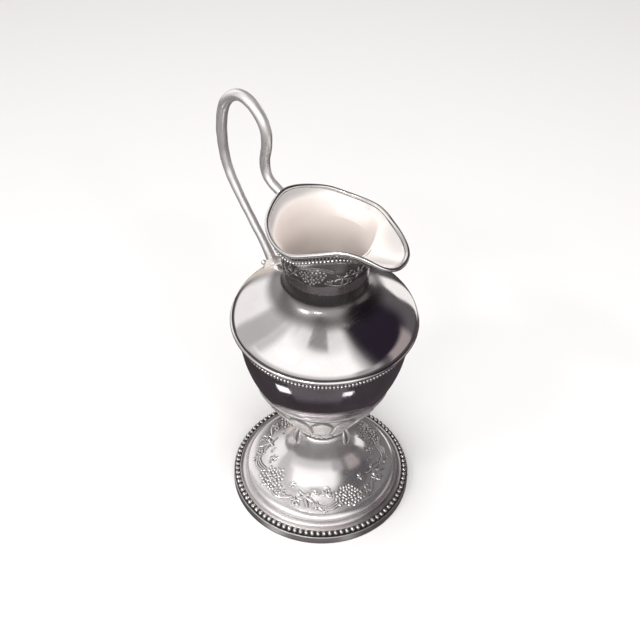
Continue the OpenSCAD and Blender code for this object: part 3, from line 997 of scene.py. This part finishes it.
def build_rim_wire():
    angles = angles_round(LIP_COLUMNS)
    rim = lip_base_rings(angles)[1]
    radii = np.full(len(rim), RIM_WIRE_R)
    rings = tube_rings(rim, radii, 16, (0, 0, 1), closed=True)
    faces = ring_faces(len(rings), 16, close_rows=True)
    piece = make_piece("rolled_rim", rings, faces, sharp=80)
    place(piece, "rim_wire", bright)


# ---- Handle ------------------------------------------------------------------------------------
# Centre line of the handle in the XZ plane, from the shoulder over the loop to the lip
HANDLE_ROUTE = [
    (-32.4, 113.9), (-36.8, 120.6), (-46, 131), (-55, 142), (-60.6, 152), (-62.6, 166), (-60, 180),
    (-52, 187.9), (-43.4, 187.9), (-36, 181.6), (-34.6, 173), (-36.2, 164), (-34, 157), (-26.2, 153.8),
]
HANDLE_D, HANDLE_THIN_D = 4.8, 3.7


def build_handle():
    course = smooth_path([(x, 0, z) for x, z in HANDLE_ROUTE], 30)
    ends = course[[0, -1]].copy()
    course = softened(even(course, 360), 5, closed=False)
    course[[0, -1]] = ends
    share = np.linspace(0, 1, len(course))
    swell = np.sin(np.pi * np.clip((share - 0.18) / 0.9, 0, 1)) ** 1.2
    radii = (HANDLE_THIN_D + (HANDLE_D - HANDLE_THIN_D) * swell) / 2
    radii = radii * (1 + 0.22 * smooth_step((0.09 - share) / 0.09))
    sides = 36
    rings = tube_rings(course, radii, sides, (0, 1, 0))
    centre = course[:, None, :]
    spokes = rings - centre
    # The long lower leg has a flatter face towards the body
    flat = smooth_step((0.5 - share) / 0.2) * smooth_step((share - 0.02) / 0.05)
    along = unit(np.gradient(course, axis=0))
    inner_way = np.cross(along, (0, 1, 0))
    depth = (spokes * inner_way[:, None, :]).sum(axis=2)
    limit = radii[:, None] * (1 - 0.42 * flat[:, None])
    over = np.clip(depth - limit, 0, None) * 0.85
    rings = rings - over[..., None] * inner_way[:, None, :]
    rings = rings + ripple(rings, 21, 7, 0.045)[..., None] * unit(spokes)
    caps = [course[0] + 0 * rings[0], course[-1] + 0 * rings[0]]
    rows = np.concatenate([caps[:1], rings, caps[1:]])
    piece = make_piece("loop_handle", rows, ring_faces(len(rows), sides), sharp=60)
    place(piece, "handle", worn)


def on_shoulder(run, across):
    """Point and normal on the shoulder's outside behind the handle. run is up the slope."""
    side = cubic((39.3, SHOULDER_BASE), (39.2, 108.5), (33.4, 113.3), (24.8, 118.8), 200)
    along = lengths(side)
    start = np.interp(-31.8, -side[:, 0], along)
    stations = np.clip(start + run, 0, along[-1])
    radius = np.interp(stations, along, side[:, 0])
    height = np.interp(stations, along, side[:, 1])
    normals = profile_normals(side)
    tilt = [np.interp(stations, along, normals[:, k]) for k in (0, 1)]
    angle = np.pi + across / radius
    point = np.stack([radius * np.cos(angle), radius * np.sin(angle), height], axis=-1)
    normal = np.stack([tilt[0] * np.cos(angle), tilt[0] * np.sin(angle), tilt[1]], axis=-1)
    return point, normal


def build_handle_foot():
    """Leaf of solder and sheet that spreads on the shoulder under the handle's lower leg."""
    rows, columns = 26, 72
    far = np.linspace(0, 1, rows)[:, None]
    turn = angles_round(columns)[None, :]
    scallop = 1 + 0.1 * np.cos(3 * turn) + 0.05 * np.cos(7 * turn + 0.6)
    run = far * np.where(np.cos(turn) > 0, 8.2, 4.8) * np.cos(turn) * scallop
    across = far * 5.2 * np.sin(turn) * scallop
    point, normal = on_shoulder(run, across)
    from_leg = np.hypot(run + 0.4, 0.75 * across)
    height = 0.15 + 0.7 * np.sqrt(np.clip(1 - far**2, 0, 1)) + 2.6 * np.exp(-((from_leg / 2.7) ** 2))
    height = height * smooth_step((1.0 - far) / 0.16) - 0.12
    top = point + height[..., None] * normal
    top = top + ripple(top, 13, 3.2, 0.07)[..., None] * normal * smooth_step((1 - far) / 0.2)[..., None]
    under = (point - 0.45 * normal)[::-1]
    rings = np.concatenate([top, under])
    piece = make_piece("handle_leaf", rings, ring_faces(len(rings), columns), sharp=80)
    place(piece, "handle_foot", cream)


def ball_rings(centre, size, seed):
    """A hand-made ball, slightly uneven. size is its half width along each axis."""
    rows, columns = 18, 28
    tilt = np.linspace(-0.5 * np.pi, 0.5 * np.pi, rows)
    profile = np.stack([np.cos(tilt), np.sin(tilt)], axis=1)
    profile[[0, -1], 0] = 0
    rings = spin(profile, angles_round(columns)) * size
    rings = rings * (1 + ripple(rings, seed, 2.2, 0.04)[..., None])
    rings[0] = rings[0].mean(axis=0)
    rings[-1] = rings[-1].mean(axis=0)
    return rings + np.array(centre)


def build_knop():
    centre = (knop_low + knop_high) / 2
    radius = (knop_high[2] - knop_low[2]) / 2
    rings = ball_rings(centre, 0.94 * radius * np.array([1, 0.95, 1]), seed=4)
    piece = make_piece("handle_ball", rings, ring_faces(*rings.shape[:2]), sharp=80)
    place(piece, "handle_knop", worn)


def build_top_pad():
    """Soldered pad that spreads on the lip under the handle's upper end."""
    low, high = node_box("handle_top_pad")
    centre = (low + high) / 2
    size = (high - low) / 2
    rings = ball_rings(centre, size * [0.9, 1.0, 0.92], seed=6)
    piece = make_piece("lip_pad", rings, ring_faces(*rings.shape[:2]), sharp=80)
    place(piece, "handle_top_pad", worn)


# ---- Stage, light and camera -------------------------------------------------------------------
CAMERA_TURN = math.radians(45)  # from -Y towards +X, so the spout points to the right and back
PITCH = math.radians(43.08)
ROLL = math.radians(1.25)
CAMERA_AT = Vector((-0.00196, -0.3252, 0.4057))  # before the turn round the jug's axis
LENS = 59.06
SENSOR = 36


def make_camera():
    ahead = Vector((0, math.cos(PITCH), -math.sin(PITCH)))
    right = Vector((1, 0, 0))
    up = right.cross(ahead)
    right, up = (
        right * math.cos(ROLL) + up * math.sin(ROLL),
        up * math.cos(ROLL) - right * math.sin(ROLL),
    )
    turned = Matrix((right, up, -ahead)).transposed().to_4x4()
    data = bpy.data.cameras.new("camera")
    data.sensor_width = SENSOR
    data.lens = LENS
    camera = bpy.data.objects.new("camera", data)
    camera.matrix_world = Matrix.Rotation(CAMERA_TURN, 4, "Z") @ Matrix.Translation(CAMERA_AT) @ turned
    bpy.context.scene.collection.objects.link(camera)
    bpy.context.scene.camera = camera


def softbox(name, right_of_camera, elevation, distance, width, height, power):
    """Rectangular light aimed at the jug. Angles are in degrees, from the camera's side."""
    data = bpy.data.lights.new(name, "AREA")
    data.shape = "RECTANGLE"
    data.size, data.size_y = width, height
    data.energy = power
    light = bpy.data.objects.new(name, data)
    turn = math.radians(right_of_camera - 90) + CAMERA_TURN
    rise = math.radians(elevation)
    way = Vector((math.cos(turn) * math.cos(rise), math.sin(turn) * math.cos(rise), math.sin(rise)))
    target = Vector((0, 0, 0.1))
    light.location = target + distance * way
    light.rotation_mode = "QUATERNION"
    light.rotation_quaternion = way.to_track_quat("Z", "Y")
    bpy.context.scene.collection.objects.link(light)
    return light


def make_lights():
    softbox("left_lamp", -52, 44, 0.9, 0.11, 0.05, 1.3)
    softbox("middle_lamp", -18, 39, 0.9, 0.16, 0.035, 0.8)
    right = softbox("right_lamp", 27, 41, 0.9, 0.1, 0.05, 1.1)
    right.visible_glossy = False
    # Soft light from above for the floor and the frosted inside, which polished faces don't show
    overhead = softbox("overhead", 0, 86, 1.0, 0.5, 0.5, 9)
    overhead.visible_glossy = False


# The studio as the jug's polished faces see it, each layer over the ones before. A layer is a
# patch from left to right and from low to high, in degrees, right of the camera and over the
# horizon, with the width of its soft edge and its colour.
STUDIO = [
    (("right_side", 30, 400, -14, 100, 14), (0.11, 0.1, 0.105)),
    (("white_room", -156, 50, -9, 100, 24), (0.82, 0.805, 0.8)),
    (("ceiling", -400, 400, 72, 100, 14), (0.3, 0.285, 0.295)),
    (("dark_corner", 60, 126, 16, 78, 18), (0.022, 0.016, 0.026)),
    (("left_screen", -149, -116, -12, 40, 7), (0.92, 0.9, 0.89)),
    (("left_gap", -116, -88, -18, 72, 9), (0.5, 0.485, 0.49)),
    (("left_panel", -88, -62, 20, 66, 8), (0.62, 0.605, 0.61)),
    (("front_screen", -76, 40, 0, 58, 13), (1.08, 1.07, 1.06)),
    (("front_foot", -90, 50, -16, 8, 22), (0.6, 0.585, 0.59)),
    (("lilac_gap", -34, 8, 61, 90, 7), (0.3, 0.28, 0.285)),
    (("right_screen", 78, 112, -16, 19, 9), (0.36, 0.31, 0.31)),
    (("right_low", 34, 64, -12, 14, 12), (0.36, 0.34, 0.35)),
    (("far_strip", 139, 155, -28, 9, 4), (1.0, 0.97, 0.95)),
    (("far_left", -400, -156, -30, 6, 8), (0.66, 0.585, 0.52)),
    (("table_edge", -90, 60, -42, -14, 10), (0.11, 0.1, 0.1)),
    (("table_glow", -50, 34, -64, -40, 12), (0.18, 0.165, 0.175)),
    (("left_glint", -73, -51, -57.5, -51.5, 1.5), (1.9, 1.9, 1.9)),
    (("right_glint", 30, 45, -57, -52, 1.5), (1.7, 1.7, 1.7)),
]
DARK_TABLE = (0.07, 0.058, 0.064)
PALE = (0.78, 0.775, 0.77)


def make_world():
    """Light from all round: the studio's patches, and plain pale where the camera looks past it."""
    world = bpy.data.worlds.new("studio")
    bpy.context.scene.world = world
    world.use_nodes = True
    world.node_tree.nodes.clear()
    nodes = Nodes(world.node_tree)
    way = nodes.add("ShaderNodeTexCoord").outputs["Generated"]
    turned = nodes.add("ShaderNodeVectorRotate", Vector=way, Angle=math.pi / 2 - CAMERA_TURN)
    turned.rotation_type = "Z_AXIS"
    x, y, z = nodes.add("ShaderNodeSeparateXYZ", Vector=turned.outputs[0]).outputs
    degrees = math.degrees(1)
    across = nodes.sum("MULTIPLY", nodes.sum("ARCTAN2", y, x), degrees)
    height = nodes.sum("MULTIPLY", nodes.sum("ARCSINE", z), degrees)

    colour = nodes.blend(0.0, DARK_TABLE, DARK_TABLE)
    for (_, left, right, low, high, edge), shade in STUDIO:
        half = edge / 2
        share = nodes.rise(across, left - half, left + half)
        share = nodes.sum("MULTIPLY", share, nodes.rise(across, right + half, right - half))
        share = nodes.sum("MULTIPLY", share, nodes.rise(height, low - half, low + half))
        share = nodes.sum("MULTIPLY", share, nodes.rise(height, high + half, high - half))
        colour = nodes.blend(share, colour, shade)
    seen = nodes.add("ShaderNodeLightPath").outputs["Is Camera Ray"]
    sky = nodes.add("ShaderNodeBackground", Color=nodes.blend(seen, colour, PALE))
    nodes.add("ShaderNodeOutputWorld", Surface=sky.outputs[0])


def make_floor():
    size = 3.0
    mesh = bpy.data.meshes.new("floor")
    corners = [(-size, -size, 0), (size, -size, 0), (size, size, 0), (-size, size, 0)]
    mesh.from_pydata(corners, [], [(0, 1, 2, 3)])
    floor = bpy.data.objects.new("floor", mesh)
    bpy.context.scene.collection.objects.link(floor)
    shader = Shader("floor")
    shader.surface.inputs["Base Color"].default_value = (0.8, 0.79, 0.785, 1)
    shader.surface.inputs["Roughness"].default_value = 0.8
    mesh.materials.append(shader.material)
    floor.visible_glossy = False


make_camera()
make_world()
make_lights()
make_floor()

build_foot_rim()
build_bead_ring("foot_pearls", "foot_bead_wire", 94, sides=20, steps=13)
build_foot_dome()
build_collar()
build_collar_leaves()
build_bowl()
build_calyx()
build_bead_ring("girdle_pearls", "girdle_bead_wire", 150, sides=12, steps=8)
build_edge_wire()
build_shoulder()
build_neck()
build_neck_beads()
build_lip()
build_rim_wire()
build_handle()
build_handle_foot()
build_knop()
build_top_pad()

bpy.context.scene.view_settings.view_transform = "Standard"
